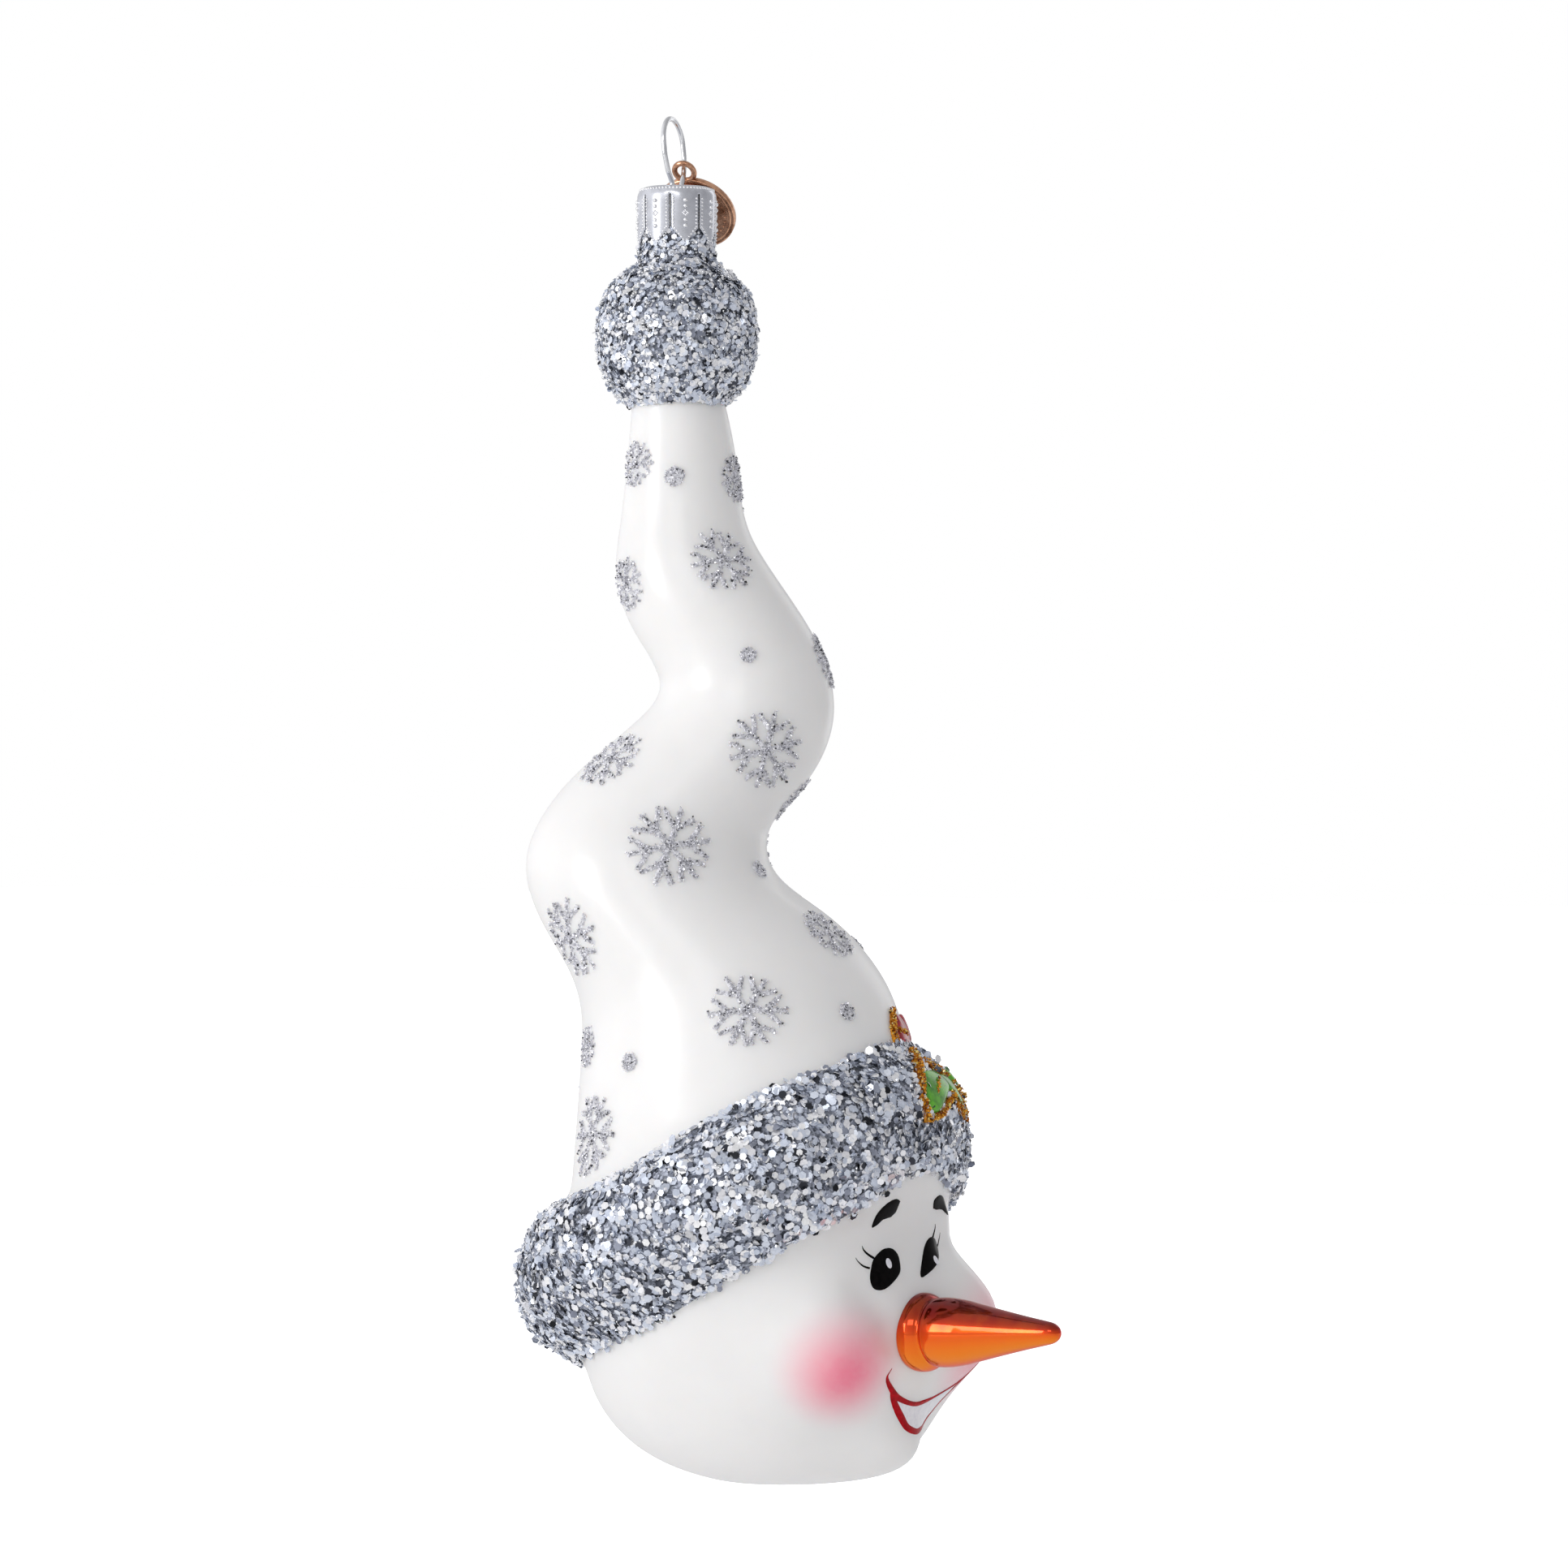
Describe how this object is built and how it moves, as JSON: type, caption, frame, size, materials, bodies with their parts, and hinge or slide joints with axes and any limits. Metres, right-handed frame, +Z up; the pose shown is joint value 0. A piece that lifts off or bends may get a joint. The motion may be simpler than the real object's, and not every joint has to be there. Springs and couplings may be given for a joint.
{
  "type": "blown glass hanging ornament",
  "caption": "Hanging glass figure of a snowman's head in a tall curved stocking hat, with a crimped cap, a sprung wire loop and a small medal threaded on the loop.",
  "frame": {"origin": "the point it hangs from: the inside of the wire loop, at its top", "axes": "+Z up along the hanging line, -Y the way the nose points, +X the figure's left"},
  "size_m": [0.0677, 0.0897, 0.2015],
  "materials": {
    "wire": "bright drawn wire",
    "cap": "bright embossed tin",
    "tag": "antique bronze, worn bright on the rim",
    "glass_white": "opal white blown glass, satin gloss",
    "glitter_fine": "silver glitter and micro beads",
    "glitter_coarse": "coarse silver flakes",
    "glitter_line": "fine silver glitter glue",
    "enamel_black": "gloss enamel",
    "enamel_white": "gloss enamel",
    "enamel_red": "gloss enamel",
    "enamel_crimson": "gloss enamel",
    "enamel_green": "gloss enamel",
    "glitter_gold": "gold glitter glue",
    "lustre_orange": "glass with a metallic orange lustre inside"
  },
  "bodies": {
    "hanger": {"hanger_wire": "wire"},
    "medal": {"tag": "tag"},
    "cap": {"cap": "cap"},
    "figure": {"glass_figure": "glass_white", "bobble_coat": "glitter_fine", "cuff_coat": "glitter_coarse", "nose": "lustre_orange", "snowflakes": "glitter_line", "glitter_dots": "glitter_line", "holly_leaves": "enamel_green", "holly_petals": "enamel_crimson", "holly_outline": "glitter_gold", "eyes": "enamel_black", "eye_glints": "enamel_white", "brows": "enamel_black", "lashes": "enamel_black", "mouth": "enamel_red", "teeth": "enamel_white"}
  },
  "joints": [
    {"name": "medal_swing", "type": "hinge", "parent": "hanger", "child": "medal", "pos_m": [0.00349, 0.00038, -0.0071], "axis": [0.2932, -0.956, 0], "range_deg": [0, 65]},
    {"name": "cap_pull", "type": "slide", "parent": "hanger", "child": "cap", "axis": [0, 0, -1], "range_m": [0, 0.007]},
    {"name": "figure_swivel", "type": "hinge", "parent": "cap", "child": "figure", "pos_m": [0.00025, -0.00082, -0.014], "axis": [0, 0, 1], "continuous": true}
  ]
}
